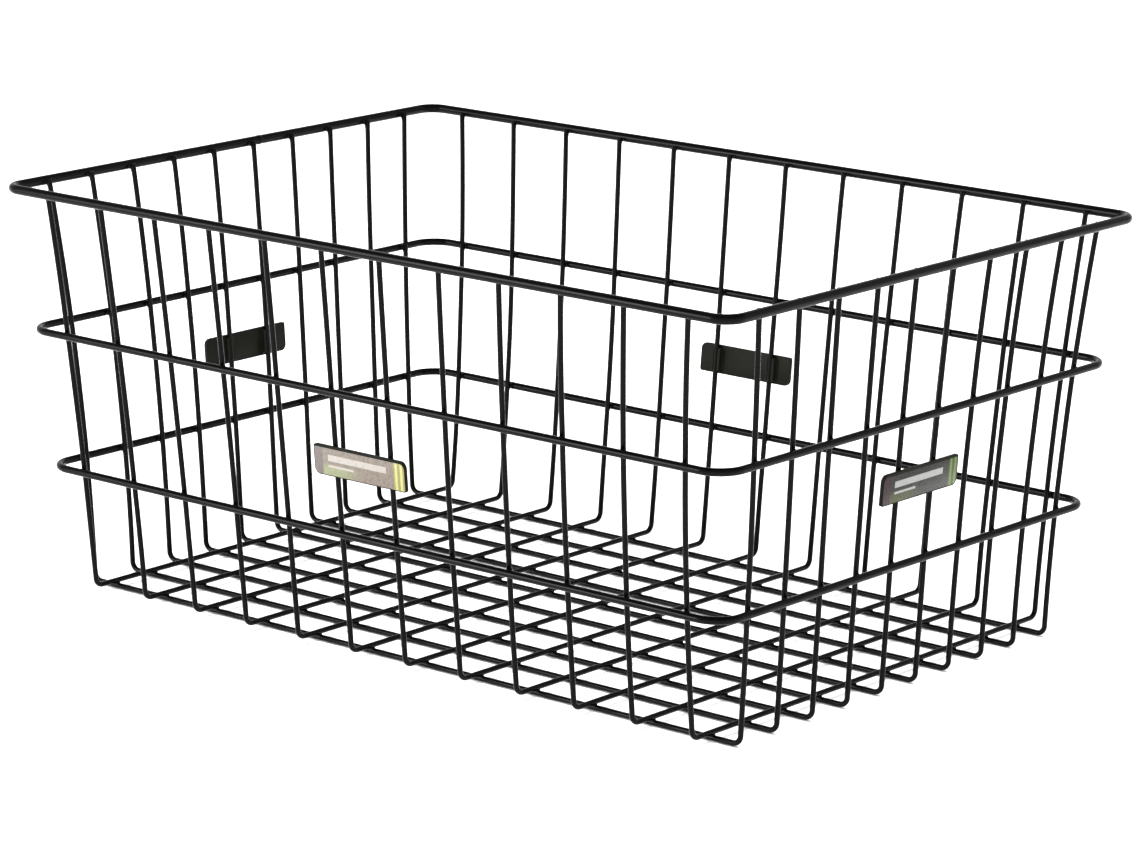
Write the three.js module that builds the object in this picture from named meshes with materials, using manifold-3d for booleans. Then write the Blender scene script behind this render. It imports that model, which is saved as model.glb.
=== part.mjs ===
// Open-top cargo basket, welded from coated steel wire: a heavy rim, two hoops, and two crossing
// layers of U-shaped wires that make the floor and all four walls. Each wall carries one badge.
// Millimetres. +X runs along the length, +Y to the rear and +Z up. The origin is on the ground
// under the centre of the basket.
import * as THREE from "three";
import { mergeVertices } from "three/addons/utils/BufferGeometryUtils.js";
import Module from "manifold-3d";

// ---------------------------------------------------------------- driving dimensions

// Wire gauges, and the sides of the polygon that stands for each round section.
const RIM_GAUGE = 5;
const HOOP_GAUGE = 4;
const GRID_GAUGE = 2.8;
const RING_SIDES = 10;
const GRID_SIDES = 8;
// Clearance left where two wires are welded together.
const WELD_GAP = 0.15;

// Heights of the ring centrelines above the ground.
const RIM_HEIGHT = 215.7;
const MID_HOOP_HEIGHT = 141.0;
const LOW_HOOP_HEIGHT = 67.4;

// The twelve wires that run from front to rear, and the ten that run from end to end. Reach is
// half the distance between a wire's two legs, and pitch the distance to the next wire. Between
// the floor and the rim both run in shallow curves, as deep inward as the two bows. The upright
// ends of the wires go past the middle of the rim by "pastRim".
const CROSS_WIRES = {
  count: 12,
  floorReach: 140.0,
  rimReach: 160.0,
  reachBow: -0.4,
  floorPitch: 36.65,
  rimPitch: 38.55,
  pitchBow: 0.48,
  pastRim: 0.4,
};
const LONG_WIRES = {
  count: 10,
  floorReach: 218.4,
  rimReach: 235.0,
  reachBow: 1.5,
  floorPitch: 27.75,
  rimPitch: 30.4,
  pitchBow: 0.7,
  pastRim: 1.0,
};

// Bend radii of the centrelines, and the straight steps that make up each right-angle bend.
const FLOOR_BEND_RADIUS = 4.5;
const FLOOR_BEND_STEPS = 4;
const RIM_CORNER_RADIUS = 10;
const HOOP_CORNER_RADIUS = 14;
const RING_CORNER_STEPS = 5;

// Badges: a moulded plate with a raised lip, a printed label in its pocket, and ribs behind it
// that grip the two middle wires of the wall.
const BADGE_WIDTH = 61;
const BADGE_HEIGHT = 15.6;
const BADGE_THICKNESS = 2;
const BADGE_ROUND_CORNER = 3.5;
const BADGE_TIGHT_CORNER = 1.2;
const BADGE_CORNER_STEPS = 5;
// Widths of the lip around the pocket, and of its broader stretch along the top.
const BADGE_LIP = 0.4;
const BADGE_TOP_LIP = 1.1;
const LABEL_THICKNESS = 0.4;
const LABEL_GAP = 0.1;
const RIB_THICKNESS = 1.2;
const RIB_DEPTH = 2.6;
const RIB_HEIGHT = 12.6;
const RIB_CLEARANCE = 0.3;

const COATED_STEEL = { color: 0x121212, roughness: 0.35, metalness: 0.0 };
const BADGE_PLASTIC = { color: 0x20201f, roughness: 0.6, metalness: 0.0 };
const BADGE_PRINT = { color: 0x4a4540, roughness: 0.3, metalness: 0.0 };

// ---------------------------------------------------------------- derived dimensions

// Circumscribed radius of the polygon with the same area as the round wire.
function sectionRadius(gauge, sides) {
  const step = (2 * Math.PI) / sides;
  return (gauge / 2) * Math.sqrt((2 * Math.PI) / (sides * Math.sin(step)));
}

// Distance from that polygon's centre to its flats.
function sectionFlat(gauge, sides) {
  return sectionRadius(gauge, sides) * Math.cos(Math.PI / sides);
}

const GRID_FLAT = sectionFlat(GRID_GAUGE, GRID_SIDES);
// The long wires lie on the ground, and the cross wires lie on them.
const LONG_WIRE_FLOOR = GRID_FLAT;
const CROSS_WIRE_FLOOR = LONG_WIRE_FLOOR + 2 * GRID_FLAT + WELD_GAP;
const WALL_FOOT = (LONG_WIRE_FLOOR + CROSS_WIRE_FLOOR) / 2;
const BETWEEN_HOOPS = (MID_HOOP_HEIGHT + LOW_HOOP_HEIGHT) / 2;

// How far up the wall a height is: 0 at the floor and 1 at the rim.
function wallShare(height) {
  return (height - WALL_FOOT) / (RIM_HEIGHT - WALL_FOOT);
}

// A size that goes from one value at the floor to another at the rim, in a curve as deep as "bow".
function bowed(atFloor, atRim, bow, height) {
  const share = wallShare(height);
  return THREE.MathUtils.lerp(atFloor, atRim, share) - bow * 4 * share * (1 - share);
}

// Distance from the basket's middle to the legs of a layer of wires, at a height.
function reachAt(layer, height) {
  return bowed(layer.floorReach, layer.rimReach, layer.reachBow, height);
}

// Distance between neighbouring wires of a layer, at a height: the legs fan out a little.
function pitchAt(layer, height) {
  return bowed(layer.floorPitch, layer.rimPitch, layer.pitchBow, height);
}

// Where a badge sits on the straight stretch of the legs between the two hoops, "rise" above its
// middle: the legs' distance from the basket's middle and from each other, and their lean from
// the vertical in radians.
function badgeSeat(layer, rise) {
  const stretch = MID_HOOP_HEIGHT - LOW_HOOP_HEIGHT;
  const share = 0.5 + rise / stretch;
  const along = (sizeAt) =>
    THREE.MathUtils.lerp(sizeAt(layer, LOW_HOOP_HEIGHT), sizeAt(layer, MID_HOOP_HEIGHT), share);
  const flare = reachAt(layer, MID_HOOP_HEIGHT) - reachAt(layer, LOW_HOOP_HEIGHT);
  return {
    reach: along(reachAt),
    pitch: along(pitchAt),
    lean: Math.atan2(flare, stretch),
  };
}

// ---------------------------------------------------------------- wire sweeps

// The centreline of a wire as stations: a point and the wire's direction at it. Straight stretches
// need no stations between their ends. "side" is the direction that two flats of the section face.
class WireRoute extends THREE.Curve {
  constructor(stations, side, sectionSides) {
    super();
    this.stations = stations;
    this.side = side;
    this.roll = Math.PI / sectionSides;
  }

  stationAt(u) {
    return this.stations[Math.round(u * (this.stations.length - 1))];
  }

  getPointAt(u, target = new THREE.Vector3()) {
    return target.copy(this.stationAt(u).point);
  }

  getTangentAt(u, target = new THREE.Vector3()) {
    return target.copy(this.stationAt(u).tangent);
  }

  computeFrenetFrames(segments) {
    const frames = { tangents: [], normals: [], binormals: [] };
    for (let i = 0; i <= segments; i++) {
      const tangent = this.getTangentAt(i / segments);
      const normal = this.side.clone().addScaledVector(tangent, -this.side.dot(tangent)).normalize();
      normal.applyAxisAngle(tangent, this.roll);
      frames.tangents.push(tangent);
      frames.normals.push(normal);
      frames.binormals.push(new THREE.Vector3().crossVectors(tangent, normal));
    }
    return frames;
  }
}

function polygonShape(radius, sides) {
  const corners = [];
  for (let i = 0; i < sides; i++) {
    const angle = (2 * Math.PI * i) / sides;
    corners.push(new THREE.Vector2(radius * Math.cos(angle), radius * Math.sin(angle)));
  }
  return new THREE.Shape(corners);
}

// Stations of a round bend between two straight stretches that meet at a corner. "arriving" and
// "leaving" are the unit directions of travel before and after it.
function bendStations(corner, arriving, leaving, radius, steps) {
  const turn = arriving.angleTo(leaving);
  const axis = new THREE.Vector3().crossVectors(arriving, leaving).normalize();
  const inward = new THREE.Vector3().crossVectors(axis, arriving);
  const start = corner.clone().addScaledVector(arriving, -radius * Math.tan(turn / 2));
  const centre = start.clone().addScaledVector(inward, radius);
  const stations = [];
  for (let i = 0; i <= steps; i++) {
    const angle = (turn * i) / steps;
    const spoke = inward.clone().multiplyScalar(-radius).applyAxisAngle(axis, angle);
    stations.push({
      point: centre.clone().add(spoke),
      tangent: arriving.clone().applyAxisAngle(axis, angle),
    });
  }
  return stations;
}

function directionTo(from, to) {
  return new THREE.Vector3().subVectors(to, from).normalize();
}

// ---------------------------------------------------------------- pieces

// One U-shaped grid wire: down one wall, along the floor and up the opposite wall. "run" is the
// unit direction of its floor stretch and "across" the direction in which its layer repeats.
function gridWire(layer, index, floorHeight, run, across) {
  const offset = index - (layer.count - 1) / 2;
  const pointAt = (end, height) =>
    new THREE.Vector3(0, 0, height)
      .addScaledVector(run, end * reachAt(layer, height))
      .addScaledVector(across, offset * pitchAt(layer, height));

  // The points of one leg, from the top down to the corner with the floor.
  const heights = [RIM_HEIGHT + layer.pastRim, MID_HOOP_HEIGHT, LOW_HOOP_HEIGHT, floorHeight];
  const down = heights.map((height) => pointAt(-1, height));
  const up = heights.map((height) => pointAt(1, height)).reverse();
  const corners = [...down, ...up];

  const stations = [];
  corners.forEach((point, i) => {
    const arriving = i > 0 ? directionTo(corners[i - 1], point) : null;
    const leaving = i < corners.length - 1 ? directionTo(point, corners[i + 1]) : null;
    const isFloorCorner = i === down.length - 1 || i === down.length;
    if (isFloorCorner) {
      stations.push(...bendStations(point, arriving, leaving, FLOOR_BEND_RADIUS, FLOOR_BEND_STEPS));
      return;
    }
    const tangent = new THREE.Vector3();
    if (arriving) tangent.add(arriving);
    if (leaving) tangent.add(leaving);
    stations.push({ point, tangent: tangent.normalize() });
  });

  return new THREE.ExtrudeGeometry(polygonShape(sectionRadius(GRID_GAUGE, GRID_SIDES), GRID_SIDES), {
    steps: stations.length - 1,
    extrudePath: new WireRoute(stations, across, GRID_SIDES),
  });
}

// A closed ring around the outside of the legs: the rim or one of the two hoops.
function ringWire(gauge, height, cornerRadius) {
  const radius = sectionRadius(gauge, RING_SIDES);
  const standOff = GRID_FLAT + WELD_GAP + radius;
  const halfLength = reachAt(LONG_WIRES, height) + standOff;
  const halfWidth = reachAt(CROSS_WIRES, height) + standOff;
  const corners = [
    new THREE.Vector3(halfLength, -halfWidth, height),
    new THREE.Vector3(halfLength, halfWidth, height),
    new THREE.Vector3(-halfLength, halfWidth, height),
    new THREE.Vector3(-halfLength, -halfWidth, height),
  ];
  const stations = corners.flatMap((corner, i) => {
    const arriving = directionTo(corners[(i + 3) % 4], corner);
    const leaving = directionTo(corner, corners[(i + 1) % 4]);
    return bendStations(corner, arriving, leaving, cornerRadius, RING_CORNER_STEPS);
  });
  stations.push(stations[0]);
  const route = new WireRoute(stations, new THREE.Vector3(0, 0, 1), RING_SIDES);
  return new THREE.TubeGeometry(route, stations.length - 1, radius, RING_SIDES, true);
}

// The badge's outline, drawn in by an inset, with another along its top. "rising" rounds the lower
// left and upper right corners generously, and the other two tightly; otherwise it is the other
// way about.
function badgeShape(inset, topInset, rising) {
  const x = BADGE_WIDTH / 2 - inset;
  const bottom = -BADGE_HEIGHT / 2 + inset;
  const top = BADGE_HEIGHT / 2 - topInset;
  const smallest = 0.3;
  const round = Math.max(BADGE_ROUND_CORNER - inset, smallest);
  const tight = Math.max(BADGE_TIGHT_CORNER - inset, smallest);
  const [a, b] = rising ? [round, tight] : [tight, round];
  const quarter = Math.PI / 2;
  return new THREE.Shape()
    .absarc(-x + a, bottom + a, a, 2 * quarter, 3 * quarter)
    .absarc(x - b, bottom + b, b, 3 * quarter, 4 * quarter)
    .absarc(x - a, top - a, a, 0, quarter)
    .absarc(-x + b, top - b, b, quarter, 2 * quarter)
    .closePath();
}

function badgeSlab(inset, topInset, rising, thickness) {
  return new THREE.ExtrudeGeometry(badgeShape(inset, topInset, rising), {
    depth: thickness,
    curveSegments: BADGE_CORNER_STEPS,
    bevelEnabled: false,
  });
}

const wasm = await Module();
wasm.setup();

function toSolid(geometry) {
  const bare = geometry.clone();
  bare.deleteAttribute("normal");
  bare.deleteAttribute("uv");
  const merged = mergeVertices(bare, 1e-4);
  return new wasm.Manifold(
    new wasm.Mesh({
      numProp: 3,
      vertProperties: new Float32Array(merged.attributes.position.array),
      triVerts: new Uint32Array(merged.index.array),
    }),
  );
}

function toGeometry(solid) {
  const { vertProperties, triVerts } = solid.getMesh();
  return new THREE.BufferGeometry()
    .setAttribute("position", new THREE.BufferAttribute(vertProperties, 3))
    .setIndex(new THREE.BufferAttribute(triVerts, 1));
}

// The plate, with its back at z = 0 and its front at z = BADGE_THICKNESS. The ribs stand out
// behind it, two around each of the two wires at x = ±wirePitch / 2.
function badgePlate(wirePitch, rising) {
  let plate = toSolid(badgeSlab(0, 0, rising, BADGE_THICKNESS));
  const pocketDepth = LABEL_THICKNESS + LABEL_GAP;
  const pocket = badgeSlab(BADGE_LIP, BADGE_TOP_LIP, rising, pocketDepth + 1);
  pocket.translate(0, 0, BADGE_THICKNESS - pocketDepth);
  plate = plate.subtract(toSolid(pocket));

  const overlap = 0.5;
  const ribOffset = sectionRadius(GRID_GAUGE, GRID_SIDES) + RIB_CLEARANCE + RIB_THICKNESS / 2;
  for (const wire of [-wirePitch / 2, wirePitch / 2]) {
    for (const side of [-1, 1]) {
      const rib = new THREE.BoxGeometry(RIB_THICKNESS, RIB_HEIGHT, RIB_DEPTH + overlap);
      rib.translate(wire + side * ribOffset, 0, (overlap - RIB_DEPTH) / 2);
      plate = plate.add(toSolid(rib));
    }
  }
  return toGeometry(plate);
}

// The label lies in the pocket, level with the plate's lip.
function badgeLabel(rising) {
  const topInset = BADGE_TOP_LIP + LABEL_GAP;
  const label = badgeSlab(BADGE_LIP + LABEL_GAP, topInset, rising, LABEL_THICKNESS);
  label.translate(0, 0, BADGE_THICKNESS - LABEL_THICKNESS);
  return label;
}

// ---------------------------------------------------------------- assembly

const basket = new THREE.Group();

function addMesh(parent, name, geometry, finish) {
  const mesh = new THREE.Mesh(geometry, new THREE.MeshStandardMaterial(finish));
  mesh.name = name;
  parent.add(mesh);
}

const rim = ringWire(RIM_GAUGE, RIM_HEIGHT, RIM_CORNER_RADIUS);
const midHoop = ringWire(HOOP_GAUGE, MID_HOOP_HEIGHT, HOOP_CORNER_RADIUS);
const lowHoop = ringWire(HOOP_GAUGE, LOW_HOOP_HEIGHT, HOOP_CORNER_RADIUS);
addMesh(basket, "rim_wire", rim, COATED_STEEL);
addMesh(basket, "mid_hoop_wire", midHoop, COATED_STEEL);
addMesh(basket, "low_hoop_wire", lowHoop, COATED_STEEL);

const ALONG = new THREE.Vector3(1, 0, 0);
const REARWARD = new THREE.Vector3(0, 1, 0);

function addLayer(prefix, layer, floorHeight, run, across) {
  for (let i = 0; i < layer.count; i++) {
    const name = prefix + "_" + String(i + 1).padStart(2, "0");
    addMesh(basket, name, gridWire(layer, i, floorHeight, run, across), COATED_STEEL);
  }
}

addLayer("cross_wire", CROSS_WIRES, CROSS_WIRE_FLOOR, REARWARD, ALONG);
addLayer("long_wire", LONG_WIRES, LONG_WIRE_FLOOR, ALONG, REARWARD);

// Each badge is placed as on the front wall, and its group is turned to the wall it is on. It
// sits above the middle between the two hoops by "rise".
const BADGES = [
  { wall: "front", quarterTurns: 0, legs: CROSS_WIRES, rise: 0.9, rising: true },
  { wall: "right", quarterTurns: 1, legs: LONG_WIRES, rise: 4.3, rising: false },
  { wall: "rear", quarterTurns: 2, legs: CROSS_WIRES, rise: 0.9, rising: true },
  { wall: "left", quarterTurns: 3, legs: LONG_WIRES, rise: 2.7, rising: true },
];

for (const { wall, quarterTurns, legs, rise, rising } of BADGES) {
  const { reach, pitch, lean } = badgeSeat(legs, rise);
  const standOff = GRID_FLAT + RIB_CLEARANCE;
  const turned = new THREE.Group();
  turned.rotation.z = (quarterTurns * Math.PI) / 2;
  const badge = new THREE.Group();
  badge.position.set(
    0,
    -reach - standOff * Math.cos(lean),
    BETWEEN_HOOPS + rise - standOff * Math.sin(lean),
  );
  badge.rotation.x = Math.PI / 2 + lean;
  addMesh(badge, wall + "_badge_plate", badgePlate(pitch, rising), BADGE_PLASTIC);
  addMesh(badge, wall + "_badge_label", badgeLabel(rising), BADGE_PRINT);
  turned.add(badge);
  basket.add(turned);
}

export default basket;
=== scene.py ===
"""Looks of a welded and coated wire cargo basket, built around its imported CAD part.

Each wire is swept round and smooth along the line that its CAD node takes, with rounded cut ends
and butt-weld seams. A weld with a collar of coating sits at every crossing, and each wall has a
moulded badge with a printed label. Metres: +X along the length, +Y to the rear and +Z up.
"""

import math
import random

import bpy
import numpy as np
from mathutils import Matrix, Quaternion, Vector


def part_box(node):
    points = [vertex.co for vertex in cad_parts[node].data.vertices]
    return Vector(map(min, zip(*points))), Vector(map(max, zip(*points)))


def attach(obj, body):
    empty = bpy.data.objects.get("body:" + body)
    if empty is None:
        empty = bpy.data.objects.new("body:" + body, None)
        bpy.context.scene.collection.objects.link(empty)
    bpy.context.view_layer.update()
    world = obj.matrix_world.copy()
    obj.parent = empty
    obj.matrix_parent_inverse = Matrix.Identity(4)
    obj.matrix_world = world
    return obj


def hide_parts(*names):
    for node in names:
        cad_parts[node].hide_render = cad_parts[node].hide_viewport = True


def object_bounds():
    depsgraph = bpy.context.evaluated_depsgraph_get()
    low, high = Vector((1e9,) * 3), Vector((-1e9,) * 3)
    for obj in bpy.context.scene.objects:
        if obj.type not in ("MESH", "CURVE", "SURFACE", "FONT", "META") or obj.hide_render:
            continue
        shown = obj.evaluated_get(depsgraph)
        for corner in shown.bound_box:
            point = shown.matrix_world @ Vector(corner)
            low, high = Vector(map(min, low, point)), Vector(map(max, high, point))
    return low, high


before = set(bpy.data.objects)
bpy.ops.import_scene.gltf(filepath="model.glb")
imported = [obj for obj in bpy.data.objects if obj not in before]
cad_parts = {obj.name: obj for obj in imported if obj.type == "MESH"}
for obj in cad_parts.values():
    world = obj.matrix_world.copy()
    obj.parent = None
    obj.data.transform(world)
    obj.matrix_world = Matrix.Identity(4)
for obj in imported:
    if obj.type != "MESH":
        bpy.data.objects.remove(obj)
cad_low, cad_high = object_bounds()

# ---------------------------------------------------------------- driving sizes

MM = 0.001

# Sides of the polygons that stand for the round wire sections in the CAD nodes.
CAD_GRID_SIDES = 8
CAD_RING_SIDES = 10

# Bend radii of the wires' centrelines.
FLOOR_BEND_RADIUS = 4.5 * MM
RIM_CORNER_RADIUS = 10 * MM
HOOP_CORNER_RADIUS = 14 * MM

# How finely the wires are swept: the longest straight step, and the steps in a right angle.
GRID_WIRE_SIDES = 16
RING_WIRE_SIDES = 28
LEG_STEP = 12 * MM
FLOOR_STEP = 20 * MM
RING_STEP = 24 * MM
FLOOR_BEND_STEPS = 10
RING_CORNER_STEPS = 14

# Sideways play of a wire between its welds.
WIRE_PLAY = 0.22 * MM

# How far the coating's collar spreads along the wires at a weld.
RIM_COLLAR = 1.5 * MM
HOOP_COLLAR = 1.0 * MM
FLOOR_COLLAR = 0.8 * MM

# Badges.
BADGE_WIDTH = 61 * MM
BADGE_HEIGHT = 15.6 * MM
BADGE_THICKNESS = 2 * MM
BADGE_LIP = 0.4 * MM
BADGE_TOP_LIP = 1.1 * MM
BADGE_ROUND_CORNER = 3.5 * MM
BADGE_TIGHT_CORNER = 1.2 * MM
LABEL_THICKNESS = 0.4 * MM
LABEL_GAP = 0.1 * MM
RIB_THICKNESS = 1.2 * MM
RIB_DEPTH = 2.6 * MM
RIB_HEIGHT = 12.6 * MM
RIB_CLEARANCE = 0.3 * MM

# Camera: where it looks, from the middle of the basket's box, then its angles in degrees, its
# distance in metres, and its lens and sensor in millimetres.
CAMERA_AIM = Vector((4.9, 0.5, -11.1)) * MM
CAMERA_AZIMUTH = 40.38
CAMERA_ELEVATION = 13.75
CAMERA_ROLL = 0.36
CAMERA_DISTANCE = 2.438
CAMERA_LENS = 149.25
CAMERA_SENSOR = 36


# ---------------------------------------------------------------- reading the CAD wires

def round_radius(flat, sides):
    """Radius of the circle with the same area as a regular polygon, from the centre-to-flat distance."""
    return flat * math.sqrt(sides * math.tan(math.pi / sides) / math.pi)


class Ring:
    """The rim or a hoop: its height, its reach along X and Y, and its wire's radius."""

    def __init__(self, node, corner_radius):
        low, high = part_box(node)
        flat = (high.z - low.z) / 2
        point = flat / math.cos(math.pi / CAD_RING_SIDES)
        self.node = node
        self.corner_radius = corner_radius
        self.height = (high.z + low.z) / 2
        self.reach = (high.x - point, high.y - point)
        self.radius = round_radius(flat, CAD_RING_SIDES)


class GridWire:
    """A U-shaped wire that runs along one axis, 0 for X or 1 for Y. Both legs have the same shape."""

    def __init__(self, node, run, hoops):
        low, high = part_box(node)
        self.node = node
        self.run = run
        sections = [self.section(high.z)] + [self.section(hoop.height) for hoop in hoops]
        middles = [(a + b) / 2 for a, b in sections]
        heights = [m.z for m in middles]
        a, b = sections[-1]
        flat = (b[1 - run] - a[1 - run]) / 2
        self.radius = round_radius(flat, CAD_GRID_SIDES)
        self.top = middles[0].z
        self.floor = low.z + flat
        self.reach_curve = np.polyfit(heights, [m[run] for m in middles], 2)
        self.offset_curve = np.polyfit(heights, [m[1 - run] for m in middles], 2)

    def section(self, height):
        """Lowest and highest corners of the CAD wire's section near a height, on its positive leg."""
        near = 1 * MM
        corners = [
            v.co
            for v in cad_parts[self.node].data.vertices
            if abs(v.co.z - height) < near and v.co[self.run] > 0
        ]
        return Vector(map(min, zip(*corners))), Vector(map(max, zip(*corners)))

    def leg_point(self, end, height):
        """Centre of the leg at a height, on the wall at the positive or the negative end."""
        point = Vector((0, 0, height))
        point[self.run] = end * np.polyval(self.reach_curve, height)
        point[1 - self.run] = np.polyval(self.offset_curve, height)
        return point

    def leg_direction(self, end, height):
        """Unit direction of the leg at a height, upwards."""
        step = 1 * MM
        return (self.leg_point(end, height + step) - self.leg_point(end, height - step)).normalized()


rim = Ring("rim_wire", RIM_CORNER_RADIUS)
mid_hoop = Ring("mid_hoop_wire", HOOP_CORNER_RADIUS)
low_hoop = Ring("low_hoop_wire", HOOP_CORNER_RADIUS)


def read_layer(prefix, run):
    names = sorted(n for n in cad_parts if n.startswith(prefix))
    return [GridWire(n, run, [mid_hoop, low_hoop]) for n in names]


cross_wires = read_layer("cross_wire", 1)
long_wires = read_layer("long_wire", 0)


# ---------------------------------------------------------------- meshes

class Shell:
    """Vertices and faces that are gathered from several shapes and made into one object."""

    def __init__(self):
        self.points = []
        self.faces = []

    def add(self, points, faces):
        start = len(self.points)
        self.points.extend(Vector(p) for p in points)
        self.faces.extend([start + i for i in face] for face in faces)

    def make(self, name, material, sharp_angle=None):
        mesh = bpy.data.meshes.new(name)
        mesh.from_pydata([tuple(p) for p in self.points], [], self.faces)
        mesh.validate()
        mesh.materials.append(material)
        mesh.shade_smooth()
        if sharp_angle is not None:
            mesh.set_sharp_from_angle(angle=math.radians(sharp_angle))
        made = bpy.data.objects.new(name, mesh)
        bpy.context.scene.collection.objects.link(made)
        return made


def place(piece, slot, *nodes):
    """The piece rides on the basket and stands for its CAD nodes."""
    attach(piece, "root")
    if nodes:
        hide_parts(*nodes)


def loft(loops, closed=False):
    """Points and faces of a skin over loops of equal length. An open one is capped at both ends."""
    count = len(loops[0])
    points = [p for loop in loops for p in loop]
    faces = []
    for i in range(len(loops) if closed else len(loops) - 1):
        a, b = i * count, (i + 1) % len(loops) * count
        for j in range(count):
            k = (j + 1) % count
            faces.append([a + j, a + k, b + k, b + j])
    if not closed:
        faces.append(list(range(count))[::-1])
        last = (len(loops) - 1) * count
        faces.append([last + j for j in range(count)])
    return points, faces


def section_loop(centre, tangent, side, radius, sides, tilt=0.0):
    """A circle around a wire's centreline. A tilt leans its plane, as on a sheared end."""
    normal = (side - tangent * side.dot(tangent)).normalized()
    other = tangent.cross(normal)
    loop = []
    for j in range(sides):
        angle = 2 * math.pi * j / sides
        x, y = radius * math.cos(angle), radius * math.sin(angle)
        loop.append(centre + normal * x + other * y + tangent * (tilt * y))
    return loop


def tangents_of(line, closed):
    """Unit directions along a polyline, each halfway between its two neighbouring segments."""
    count = len(line)
    segments = [(line[(i + 1) % count] - line[i]).normalized() for i in range(count)]
    if not closed:
        segments[-1] = segments[-2]
    before = [segments[i - 1] for i in range(count)]
    if not closed:
        before[0] = segments[0]
    return [(a + b).normalized() for a, b in zip(before, segments)]


def bend(corner, arriving, leaving, radius, steps):
    """Points of a round bend that joins two straight stretches at a corner."""
    turn = arriving.angle(leaving)
    axis = arriving.cross(leaving).normalized()
    inward = axis.cross(arriving)
    centre = corner - arriving * (radius * math.tan(turn / 2)) + inward * radius
    spokes = (Quaternion(axis, turn * i / steps) @ (inward * -radius) for i in range(steps + 1))
    return [centre + spoke for spoke in spokes]


def between(start, end, step):
    """Evenly spaced points from start to end, without the two ends."""
    count = max(1, math.ceil((end - start).length / step))
    return [start.lerp(end, i / count) for i in range(1, count)]


# ---------------------------------------------------------------- wires

# Rounded rim of a cut end: distance from the end, and share of the wire's radius.
CUT_END = [(0.55 * MM, 1.0), (0.32 * MM, 0.985), (0.14 * MM, 0.93), (0.03 * MM, 0.83), (0.0, 0.7)]
CUT_DISH = 0.06 * MM


def cut_end(end, outward, side, radius, sides, tilt):
    """Loops that close a wire at a cut end, from the full section out to the dished face."""
    loops = []
    for depth, share in CUT_END:
        loops.append(section_loop(end - outward * depth, outward, side, radius * share, sides, tilt))
    dish_share = 0.25
    loops.append(section_loop(end - outward * CUT_DISH, outward, side, radius * dish_share, sides, tilt))
    return loops


def play(share, size):
    """Sideways drift of a wire between two welds: none at either end."""
    return size * math.sin(math.pi * share)


def leg_line(wire, end, chance):
    """Centreline of one leg, from its cut top down to the start of its floor bend."""
    foot = wire.leg_point(end, wire.floor)
    down = -wire.leg_direction(end, wire.floor)
    inward = Vector((0, 0, 0))
    inward[wire.run] = -end
    bend_start = wire.floor + FLOOR_BEND_RADIUS * math.tan(down.angle(inward) / 2) * -down.z
    welds = [wire.top, mid_hoop.height, low_hoop.height, bend_start]
    line = []
    for upper, lower in zip(welds, welds[1:]):
        drift = chance.uniform(-WIRE_PLAY, WIRE_PLAY)
        count = math.ceil((upper - lower) / LEG_STEP)
        for i in range(count):
            point = wire.leg_point(end, upper + (lower - upper) * i / count)
            point[1 - wire.run] += play(i / count, drift)
            line.append(point)
    return line + bend(foot, down, inward, FLOOR_BEND_RADIUS, FLOOR_BEND_STEPS)


def grid_wire_piece(wire, material):
    chance = random.Random(wire.node)
    left = leg_line(wire, -1, chance)
    right = leg_line(wire, 1, chance)[::-1]
    line = left + between(left[-1], right[0], FLOOR_STEP) + right
    tangents = tangents_of(line, closed=False)
    side = Vector((0, 0, 0))
    side[1 - wire.run] = 1
    loops = [
        section_loop(point, tangent, side, wire.radius, GRID_WIRE_SIDES)
        for point, tangent in zip(line[1:-1], tangents[1:-1])
    ]
    shear = 0.12
    tilt = chance.uniform(-shear, shear)
    first = cut_end(line[0], -tangents[0], side, wire.radius, GRID_WIRE_SIDES, tilt)
    tilt = chance.uniform(-shear, shear)
    last = cut_end(line[-1], tangents[-1], side, wire.radius, GRID_WIRE_SIDES, tilt)
    # The first end's loops turn the other way about the wire, so each is reversed to match.
    first = [[loop[-j % GRID_WIRE_SIDES] for j in range(GRID_WIRE_SIDES)] for loop in first][::-1]
    shell = Shell()
    shell.add(*loft(first + loops + last))
    piece = shell.make(wire.node + "_coated", material, sharp_angle=60)
    place(piece, "wire_coating", wire.node)
    return piece


# Swelling of a ring's butt weld: how far from the seam it is modelled, on either side, the share
# that it adds to the radius, and how soon it dies away.
SEAM_DISTANCES = [0.2 * MM, 0.5 * MM, 0.9 * MM, 1.4 * MM, 2.2 * MM]
SEAM_STEPS = [-d for d in reversed(SEAM_DISTANCES)] + SEAM_DISTANCES
SEAM_SWELL = 0.075
SEAM_LENGTH = 0.8 * MM


def ring_piece(ring, seam_share, material):
    """A closed ring, with its butt-weld seam part of the way along the left wall."""
    x, y = ring.reach
    corners = [Vector((a * x, b * y, ring.height)) for a, b in ((1, -1), (1, 1), (-1, 1), (-1, -1))]
    seam = corners[2].lerp(corners[3], seam_share)
    bends = []
    for i, corner in enumerate(corners):
        arriving = (corner - corners[i - 1]).normalized()
        leaving = (corners[(i + 1) % 4] - corner).normalized()
        bends.append(bend(corner, arriving, leaving, ring.corner_radius, RING_CORNER_STEPS))
    line = []
    for i, points in enumerate(bends):
        line += points
        following = bends[(i + 1) % 4][0]
        if i == 2:
            near = [seam + Vector((0, -step, 0)) for step in SEAM_STEPS]
            line += between(points[-1], near[0], RING_STEP)
            line += near
            line += between(near[-1], following, RING_STEP)
        else:
            line += between(points[-1], following, RING_STEP)
    up = Vector((0, 0, 1))
    loops = []
    for point, tangent in zip(line, tangents_of(line, closed=True)):
        swell = SEAM_SWELL * math.exp(-(((point - seam).length / SEAM_LENGTH) ** 2))
        loops.append(section_loop(point, tangent, up, ring.radius * (1 + swell), RING_WIRE_SIDES))
    shell = Shell()
    shell.add(*loft(loops, closed=True))
    piece = shell.make(ring.node + "_coated", material)
    place(piece, "wire_coating", ring.node)
    return piece


# ---------------------------------------------------------------- welds

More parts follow.
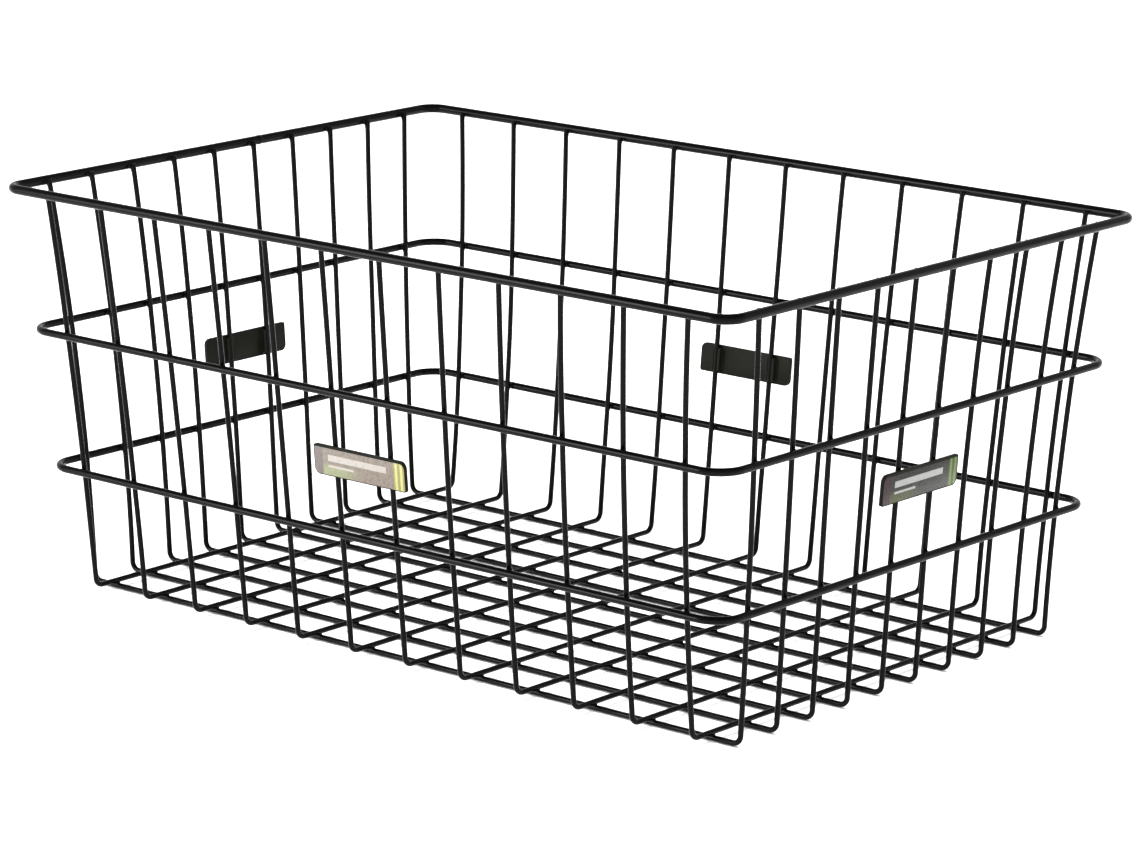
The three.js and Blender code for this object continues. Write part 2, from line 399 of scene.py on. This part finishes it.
COLLAR_SIDES = 20
COLLAR_STEPS = 5
# Angle up the side of a wire, from the line where the two wires touch, that a collar climbs to.
COLLAR_CLIMB = math.radians(68)
# Narrowest part of a collar, as a share of the wires' radii.
COLLAR_WAIST = 0.62
# How deep a collar's edges sink into the wires.
COLLAR_SINK = 0.05 * MM
# How far below a leg's cut end its collar stops.
TOP_MARGIN = 0.2 * MM


def wire_surface(radius, sideways):
    """How far a round wire's surface has fallen away at a distance sideways from its top."""
    return radius - math.sqrt(max(radius**2 - sideways**2, 0.0))


def weld_collar(shell, first, first_radius, first_axis, second, second_radius, spread, top_end=None):
    """A collar of coating around the weld of two wires that cross. "first" and "second" are the
    points on their centrelines at the crossing. If the first wire ends just past the crossing,
    "top_end" is the distance to its end."""
    normal = second - first
    gap = normal.length - first_radius - second_radius
    normal.normalize()
    along = (first_axis - normal * first_axis.dot(normal)).normalized()
    across = normal.cross(along)
    middle = first + normal * (first_radius + gap / 2)
    climb = math.sin(COLLAR_CLIMB)
    loops = []
    for i in range(COLLAR_STEPS + 1):
        t = i / COLLAR_STEPS
        loop = []
        for j in range(COLLAR_SIDES):
            angle = 2 * math.pi * j / COLLAR_SIDES
            c, s = math.cos(angle), math.sin(angle)
            reach = second_radius + spread
            if top_end is not None and c > 0:
                reach = min(reach, top_end)
            a = Vector((reach * c, first_radius * climb * s, 0))
            a.z = -gap / 2 - wire_surface(first_radius, a.y) - COLLAR_SINK
            b = Vector((second_radius * climb * c, (first_radius + spread) * s, 0))
            if top_end is not None and c > 0:
                b.x = min(b.x, top_end)
            b.z = gap / 2 + wire_surface(second_radius, b.x) + COLLAR_SINK
            m = Vector((second_radius * c, first_radius * s, 0)) * COLLAR_WAIST
            m.z = gap / 2 * (s * s - c * c)
            if top_end is not None and c > 0:
                m.x = min(m.x, top_end * c)
            point = a * (1 - t) ** 2 + m * (2 * t * (1 - t)) + b * t**2
            loop.append(middle + along * point.x + across * point.y + normal * point.z)
        loops.append(loop)
    shell.add(*loft(loops))


def varied(size, chance):
    return size * chance.uniform(0.8, 1.15)


def ring_welds(ring, spread, material, at_top=False):
    """The welds of one ring to the legs inside it, on all four walls."""
    chance = random.Random("welds of " + ring.node)
    shell = Shell()
    for wire in cross_wires + long_wires:
        for end in (-1, 1):
            leg = wire.leg_point(end, ring.height)
            touching = leg.copy()
            touching[wire.run] = end * ring.reach[wire.run]
            up = wire.leg_direction(end, ring.height)
            top_end = wire.top - ring.height - TOP_MARGIN if at_top else None
            size = varied(spread, chance)
            weld_collar(shell, leg, wire.radius, up, touching, ring.radius, size, top_end)
    piece = shell.make(ring.node + "_welds", material)
    place(piece, "wire_coating")
    return piece


def floor_welds(material):
    """The welds of the cross wires on the long wires under them."""
    chance = random.Random("welds of the floor")
    shell = Shell()
    for lower in long_wires:
        for upper in cross_wires:
            x = np.polyval(upper.offset_curve, upper.floor)
            y = np.polyval(lower.offset_curve, lower.floor)
            below, above = Vector((x, y, lower.floor)), Vector((x, y, upper.floor))
            spread = varied(FLOOR_COLLAR, chance)
            weld_collar(shell, below, lower.radius, Vector((1, 0, 0)), above, upper.radius, spread)
    piece = shell.make("floor_welds", material)
    place(piece, "wire_coating")
    return piece


# ---------------------------------------------------------------- badges

BADGE_CORNER_STEPS = 7


def badge_loop(inset, top_inset, height, rising):
    """The badge's outline, drawn in by an inset, with another along its top, at a height above the
    plate's back. "rising" rounds the lower left and upper right corners generously, and the other
    two tightly."""
    x, bottom, top = BADGE_WIDTH / 2 - inset, inset - BADGE_HEIGHT / 2, BADGE_HEIGHT / 2 - top_inset
    smallest = 0.3 * MM
    generous = max(BADGE_ROUND_CORNER - inset, smallest)
    tight = max(BADGE_TIGHT_CORNER - inset, smallest)
    if rising:
        radii = [generous, tight, generous, tight]
    else:
        radii = [tight, generous, tight, generous]
    signs = [(-1, -1), (1, -1), (1, 1), (-1, 1)]
    loop = []
    for i, (radius, (a, b)) in enumerate(zip(radii, signs)):
        for j in range(BADGE_CORNER_STEPS + 1):
            angle = math.pi + math.pi / 2 * (i + j / BADGE_CORNER_STEPS)
            centre = Vector((a * (x - radius), top - radius if b > 0 else bottom + radius, height))
            loop.append(centre + Vector((math.cos(angle), math.sin(angle), 0)) * radius)
    return loop


def rib_loops(centre, facing):
    """A gripping rib behind the plate. Its tip hooks towards the wire on its "facing" side."""
    half = RIB_THICKNESS / 2
    hook = 0.45 * MM
    tip = -RIB_DEPTH
    root = 0.3 * MM
    fillet = 0.35 * MM
    outline = [
        (half + fillet, root), (half + fillet, 0), (half + 0.12 * MM, -0.12 * MM), (half, -fillet),
        (half, tip + 1.0 * MM), (half + hook, tip + 0.55 * MM), (half + hook, tip + 0.25 * MM),
        (half + hook - 0.2 * MM, tip), (-half + 0.25 * MM, tip), (-half, tip + 0.3 * MM),
        (-half, -fillet), (-half - 0.12 * MM, -0.12 * MM), (-half - fillet, 0), (-half - fillet, root),
    ]
    if facing < 0:
        outline = [(-x, z) for x, z in outline][::-1]
    edge = 0.18 * MM
    end = RIB_HEIGHT / 2
    middle_x = sum(x for x, _ in outline) / len(outline)
    middle_z = sum(z for _, z in outline) / len(outline)
    loops = []
    for height, inset in ((-end, edge), (-end + edge, 0), (end - edge, 0), (end, edge)):
        shrink = 1 - inset / half
        loops.append([
            Vector((centre + middle_x + (x - middle_x) * shrink, height, middle_z + (z - middle_z) * shrink))
            for x, z in outline
        ])
    return loops


def badge_plate(wire_pitch, wire_radius, rising):
    """The moulded plate: rounded edges, a lip around the label's pocket, and ribs behind."""
    edge = 0.16 * MM
    crest = 0.06 * MM
    pocket = BADGE_THICKNESS - LABEL_THICKNESS - LABEL_GAP
    near = edge * 0.3
    stack = [
        (edge, edge, 0), (near, near, near), (0, 0, edge), (0, 0, BADGE_THICKNESS - edge),
        (near, near, BADGE_THICKNESS - near), (edge, edge, BADGE_THICKNESS),
        (BADGE_LIP - crest, BADGE_TOP_LIP - crest, BADGE_THICKNESS),
        (BADGE_LIP, BADGE_TOP_LIP, BADGE_THICKNESS - crest), (BADGE_LIP, BADGE_TOP_LIP, pocket),
    ]
    shell = Shell()
    shell.add(*loft([badge_loop(*layer, rising) for layer in stack]))
    offset = wire_radius + RIB_CLEARANCE + RIB_THICKNESS / 2
    for wire in (-wire_pitch / 2, wire_pitch / 2):
        for side in (-1, 1):
            shell.add(*loft(rib_loops(wire + side * offset, -side)))
    return shell


def badge_label(rising):
    """The printed label, with a soft edge and its corners matched to the pocket's."""
    edge = 0.1 * MM
    back = BADGE_THICKNESS - LABEL_THICKNESS
    stack = [
        (0, back), (0, BADGE_THICKNESS - edge), (edge * 0.3, BADGE_THICKNESS - edge * 0.3),
        (edge, BADGE_THICKNESS),
    ]
    side, top = BADGE_LIP + LABEL_GAP, BADGE_TOP_LIP + LABEL_GAP
    shell = Shell()
    shell.add(*loft([badge_loop(side + soft, top + soft, height, rising) for soft, height in stack]))
    return shell


def badge_pieces(wall, quarter_turns, wires, rising, plastic, print_finish):
    """One wall's badge, placed by its CAD label and by the lean of the wall's two middle wires."""
    pair = wires[len(wires) // 2 - 1 : len(wires) // 2 + 1]
    low_point, mid_point = (pair[0].leg_point(1, hoop.height) for hoop in (low_hoop, mid_hoop))
    run = pair[0].run
    lean = math.atan2(mid_point[run] - low_point[run], mid_point.z - low_point.z)
    low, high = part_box(wall + "_badge_label")
    turn = Matrix.Rotation(quarter_turns * math.pi / 2, 4, "Z")
    turn = turn @ Matrix.Rotation(math.pi / 2 + lean, 4, "X")
    label_middle = Vector((0, (BADGE_LIP - BADGE_TOP_LIP) / 2, BADGE_THICKNESS - LABEL_THICKNESS / 2))
    where = Matrix.Translation((low + high) / 2) @ turn @ Matrix.Translation(-label_middle)
    height = (low.z + high.z) / 2
    first, second = (np.polyval(wire.offset_curve, height) for wire in pair)
    plate = badge_plate(abs(second - first), pair[0].radius, rising).make(
        wall + "_badge_plate_moulded", plastic, sharp_angle=35
    )
    label = badge_label(rising).make(wall + "_badge_label_printed", print_finish, sharp_angle=35)
    plate.matrix_world = where
    label.matrix_world = where
    place(plate, "badge_plastic", wall + "_badge_plate")
    place(label, "badge_print", wall + "_badge_label")


# ---------------------------------------------------------------- finishes

class Finish:
    """A material that is made node by node, around one Principled BSDF."""

    def __init__(self, name, **settings):
        self.material = bpy.data.materials.new(name)
        self.material.use_nodes = True
        self.tree = self.material.node_tree
        self.shader = next(n for n in self.tree.nodes if n.type == "BSDF_PRINCIPLED")
        for socket, value in settings.items():
            self.shader.inputs[socket.replace("_", " ")].default_value = value
        self.place = self.node("ShaderNodeTexCoord").outputs["Object"]

    def node(self, kind, **settings):
        made = self.tree.nodes.new(kind)
        for name, value in settings.items():
            setattr(made, name, value)
        return made

    def feed(self, value, socket):
        if isinstance(value, bpy.types.NodeSocket):
            self.tree.links.new(value, socket)
        else:
            socket.default_value = value

    def noise(self, size, detail=2.0, roughness=0.5, stretch=None):
        """Noise from 0 to 1 whose features are about as wide as size, in metres."""
        where = self.place
        if stretch is not None:
            mapping = self.node("ShaderNodeMapping")
            mapping.inputs["Scale"].default_value = stretch
            self.feed(where, mapping.inputs["Vector"])
            where = mapping.outputs["Vector"]
        made = self.node("ShaderNodeTexNoise")
        made.inputs["Scale"].default_value = 1 / size
        made.inputs["Detail"].default_value = detail
        made.inputs["Roughness"].default_value = roughness
        self.feed(where, made.inputs["Vector"])
        return made.outputs["Fac"]

    def math(self, operation, a, b=0.0):
        made = self.node("ShaderNodeMath", operation=operation)
        self.feed(a, made.inputs[0])
        self.feed(b, made.inputs[1])
        return made.outputs[0]

    def span(self, value, low, high, to_low=0.0, to_high=1.0):
        """The value's share of the way from low to high, spread over another range."""
        made = self.node("ShaderNodeMapRange", interpolation_type="SMOOTHSTEP")
        self.feed(value, made.inputs["Value"])
        ends = {"From Min": low, "From Max": high, "To Min": to_low, "To Max": to_high}
        for name, number in ends.items():
            made.inputs[name].default_value = number
        return made.outputs["Result"]

    def mix(self, share, a, b):
        """Colour a where share is 0 and colour b where it is 1."""
        made = self.node("ShaderNodeMix", data_type="RGBA")
        self.feed(share, made.inputs["Factor"])
        self.feed(a if isinstance(a, bpy.types.NodeSocket) else (*a, 1), made.inputs["A"])
        self.feed(b if isinstance(b, bpy.types.NodeSocket) else (*b, 1), made.inputs["B"])
        return made.outputs["Result"]

    def bump(self, height, depth, strength, under=None):
        """Adds relief of a depth in metres, on top of any relief from before."""
        made = self.node("ShaderNodeBump")
        made.inputs["Strength"].default_value = strength
        made.inputs["Distance"].default_value = depth
        self.feed(height, made.inputs["Height"])
        if under is not None:
            self.feed(under, made.inputs["Normal"])
        return made.outputs["Normal"]

    def finish(self, **sockets):
        for socket, value in sockets.items():
            self.feed(value, self.shader.inputs[socket.replace("_", " ")])
        return self.material


def coated_steel(name, ripple):
    """Black coating on steel wire: orange peel, faint flow ripples, and dust that dulls it in places."""
    made = Finish(name, Specular_IOR_Level=0.08)
    patches = made.noise(14 * MM, detail=3)
    dust = made.span(made.noise(1.1 * MM, detail=4, roughness=0.7), 0.6, 0.78)
    black = made.mix(patches, (0.0006, 0.0006, 0.0007), (0.002, 0.002, 0.0018))
    colour = made.mix(made.math("MULTIPLY", dust, 0.3), black, (0.012, 0.0116, 0.0108))
    sheen = made.span(patches, 0.3, 0.7, 0.17, 0.26)
    roughness = made.math("ADD", sheen, made.math("MULTIPLY", dust, 0.16))
    peel = made.bump(made.noise(0.9 * MM, detail=2), 0.05 * MM, 0.35)
    flow = made.bump(made.noise(4.5 * MM, detail=1), ripple, 0.5, under=peel)
    return made.finish(Base_Color=colour, Roughness=roughness, Normal=flow)


def moulded_plastic():
    """Black moulded plastic with a spark-eroded grain and faint flow marks."""
    made = Finish("moulded_plastic", Specular_IOR_Level=0.08)
    grain = made.noise(0.22 * MM, detail=3, roughness=0.6)
    flow = made.noise(7 * MM, detail=2, stretch=(0.35, 1, 1))
    colour = made.mix(flow, (0.0042, 0.0044, 0.0028), (0.0075, 0.0080, 0.0050))
    roughness = made.span(grain, 0.3, 0.7, 0.42, 0.6)
    relief = made.bump(grain, 0.03 * MM, 0.5)
    return made.finish(Base_Color=colour, Roughness=roughness, Normal=relief)


def printed_label(name, field, wash, end_dark, end_light, strip, bar, gloss):
    """A printed label with a slight gloss: a coloured field with a soft wash of another colour low
    on its left, a striped block at its right end, a darker strip at its left end, and two plain
    pale bars."""
    made = Finish(name, Coat_Weight=gloss, Coat_Roughness=0.12, Specular_IOR_Level=gloss)
    parts = made.node("ShaderNodeSeparateXYZ")
    made.feed(made.place, parts.inputs[0])
    x, y = parts.outputs["X"], parts.outputs["Y"]
    half = BADGE_WIDTH / 2 - BADGE_LIP - LABEL_GAP
    soft = 0.08 * MM

    def beyond(value, edge):
        return made.span(value, edge - soft, edge + soft)

    def inside(value, low, high):
        return made.math("MULTIPLY", beyond(value, low), made.math("SUBTRACT", 1.0, beyond(value, high)))

    mottle = made.noise(2.2 * MM, detail=4, roughness=0.6)
    brushed_grain_and_sheen = made.noise(0.5 * MM, detail=2, stretch=(0.06, 1.6, 1))
    ground = made.mix(made.span(mottle, 0.35, 0.65), field[0], field[1])
    washed = made.math("MULTIPLY", made.span(x, 4 * MM, -14 * MM), made.span(y, -0.6 * MM, -3.6 * MM))
    ground = made.mix(made.math("MULTIPLY", washed, 0.85), ground, wash)
    bars = made.math(
        "MAXIMUM",
        made.math("MULTIPLY", inside(x, -21 * MM, 18 * MM), inside(y, 0.1 * MM, 3.4 * MM)),
        made.math("MULTIPLY", inside(x, -21 * MM, -4 * MM), inside(y, -3.1 * MM, -1.9 * MM)),
    )
    ground = made.mix(made.math("MULTIPLY", bars, 0.9), ground, bar)
    ground = made.mix(beyond(made.math("MULTIPLY", x, -1.0), half - 5.5 * MM), ground, strip)
    wave = made.math("SINE", made.math("MULTIPLY", x, 2 * math.pi / (3.4 * MM)))
    block = made.mix(made.span(wave, -0.3, 0.5), end_dark, end_light)
    colour = made.mix(beyond(x, half - 7.2 * MM), ground, block)
    # Pale streaks along the brushed grain are a painted sheen: highlights of brushed metal painted into the
    # colour. The same grain also gives the label its relief below.
    colour = made.mix(made.math("MULTIPLY", made.span(brushed_grain_and_sheen, 0.45, 0.7), 0.03), colour, (0.6, 0.58, 0.54))
    roughness = made.span(mottle, 0.3, 0.7, 0.22, 0.36)
    relief = made.bump(brushed_grain_and_sheen, 0.01 * MM, 0.3)
    return made.finish(Base_Color=colour, Roughness=roughness, Normal=relief)


# ---------------------------------------------------------------- stage

# Strengths of the studio's white walls and of its ceiling, and the overhead light: its strength
# and how wide it is in degrees.
WALL_LIGHT = 1.05
CEILING_LIGHT = 0.12
SUN_POWER = 6.0
SUN_ANGLE = 70

# Half the side of the floor, in metres, and how far it lies below the basket.
FLOOR_HALF = 12
FLOOR_DROP = 0.3 * MM


def make_camera():
    data = bpy.data.cameras.new("camera")
    data.sensor_width = CAMERA_SENSOR
    data.lens = CAMERA_LENS
    camera = bpy.data.objects.new("camera", data)
    bpy.context.scene.collection.objects.link(camera)
    azimuth, elevation = math.radians(CAMERA_AZIMUTH), math.radians(CAMERA_ELEVATION)
    back = Vector((
        math.sin(azimuth) * math.cos(elevation),
        -math.cos(azimuth) * math.cos(elevation),
        math.sin(elevation),
    ))
    camera.location = (cad_low + cad_high) / 2 + CAMERA_AIM + back * CAMERA_DISTANCE
    camera.rotation_mode = "QUATERNION"
    level = (-back).to_track_quat("-Z", "Y")
    camera.rotation_quaternion = level @ Quaternion((0, 0, 1), math.radians(CAMERA_ROLL))
    bpy.context.scene.camera = camera


def softbox(name, location, aim, size, power):
    data = bpy.data.lights.new(name, "AREA")
    data.shape = "RECTANGLE"
    data.size, data.size_y = size
    data.energy = power
    lamp = bpy.data.objects.new(name, data)
    lamp.location = location
    lamp.rotation_mode = "QUATERNION"
    lamp.rotation_quaternion = (Vector(aim) - Vector(location)).to_track_quat("-Z", "Y")
    bpy.context.scene.collection.objects.link(lamp)


def make_stage():
    scene = bpy.context.scene
    scene.view_settings.view_transform = "Standard"
    world = bpy.data.worlds.new("studio")
    world.use_nodes = True
    nodes, links = world.node_tree.nodes, world.node_tree.links
    background = nodes["Background"]
    background.inputs["Color"].default_value = (1, 1, 1, 1)
    direction = nodes.new("ShaderNodeTexCoord")
    parts = nodes.new("ShaderNodeSeparateXYZ")
    links.new(direction.outputs["Generated"], parts.inputs[0])
    # White walls up to 25 degrees above the floor, which darken to a ceiling at about 50 degrees.
    ceiling = nodes.new("ShaderNodeMapRange")
    ceiling.interpolation_type = "SMOOTHSTEP"
    ends = {"From Min": 0.42, "From Max": 0.75, "To Min": WALL_LIGHT, "To Max": CEILING_LIGHT}
    for name, number in ends.items():
        ceiling.inputs[name].default_value = number
    links.new(parts.outputs["Z"], ceiling.inputs["Value"])
    links.new(ceiling.outputs["Result"], background.inputs["Strength"])
    scene.world = world

    mesh = bpy.data.meshes.new("floor")
    signs = [(-1, -1), (1, -1), (1, 1), (-1, 1)]
    corners = [(a * FLOOR_HALF, b * FLOOR_HALF, -FLOOR_DROP) for a, b in signs]
    mesh.from_pydata(corners, [], [[0, 1, 2, 3]])
    paper = Finish("white_paper", Roughness=0.9, Specular_IOR_Level=0.1)
    tone = paper.noise(30 * MM, detail=2)
    white = paper.mix(tone, (0.9, 0.9, 0.9), (0.915, 0.915, 0.915))
    mesh.materials.append(paper.finish(Base_Color=white))
    floor = bpy.data.objects.new("floor", mesh)
    scene.collection.objects.link(floor)

    sun_data = bpy.data.lights.new("overhead", "SUN")
    sun_data.energy = SUN_POWER
    sun_data.angle = math.radians(SUN_ANGLE)
    sun = bpy.data.objects.new("overhead", sun_data)
    sun.visible_glossy = False
    scene.collection.objects.link(sun)
    softbox("left_front_softbox", (-1.9, -2.6, 0.75), (0, 0, 0.12), (1.1, 1.4), 60)


# ---------------------------------------------------------------- making it

make_camera()
make_stage()

coating = coated_steel("coated_steel", 0.05 * MM)
weld_coating = coated_steel("coated_weld", 0.12 * MM)
plastic = moulded_plastic()
# The front label carries the same print as the others. Its lighter colours are painted glare from the
# front-left softbox: a lit copy of the dark label's colours.
glare_painted_print = printed_label(
    "glare_painted_print",
    field=((0.15, 0.120, 0.095), (0.175, 0.143, 0.116)),
    wash=(0.21, 0.23, 0.115),
    end_dark=(0.22, 0.20, 0.06),
    end_light=(0.42, 0.41, 0.15),
    strip=(0.11, 0.09, 0.078),
    bar=(0.37, 0.34, 0.31),
    gloss=0.3,
)
dark_print = printed_label(
    "dark_print",
    field=((0.015, 0.014, 0.013), (0.021, 0.020, 0.018)),
    wash=(0.055, 0.06, 0.016),
    end_dark=(0.035, 0.055, 0.010),
    end_light=(0.11, 0.17, 0.035),
    strip=(0.032, 0.016, 0.020),
    bar=(0.34, 0.34, 0.33),
    gloss=0.12,
)

for ring, seam_share in ((rim, 0.43), (mid_hoop, 0.57), (low_hoop, 0.36)):
    ring_piece(ring, seam_share, coating)
for wire in cross_wires + long_wires:
    grid_wire_piece(wire, coating)
ring_welds(rim, RIM_COLLAR, weld_coating, at_top=True)
ring_welds(mid_hoop, HOOP_COLLAR, weld_coating)
ring_welds(low_hoop, HOOP_COLLAR, weld_coating)
floor_welds(weld_coating)

# The front badge's label takes the painted-glare copy of the print.
badge_pieces("front", 0, cross_wires, True, plastic, glare_painted_print)
badge_pieces("right", 1, long_wires, False, plastic, dark_print)
badge_pieces("rear", 2, cross_wires, True, plastic, dark_print)
badge_pieces("left", 3, long_wires, True, plastic, dark_print)
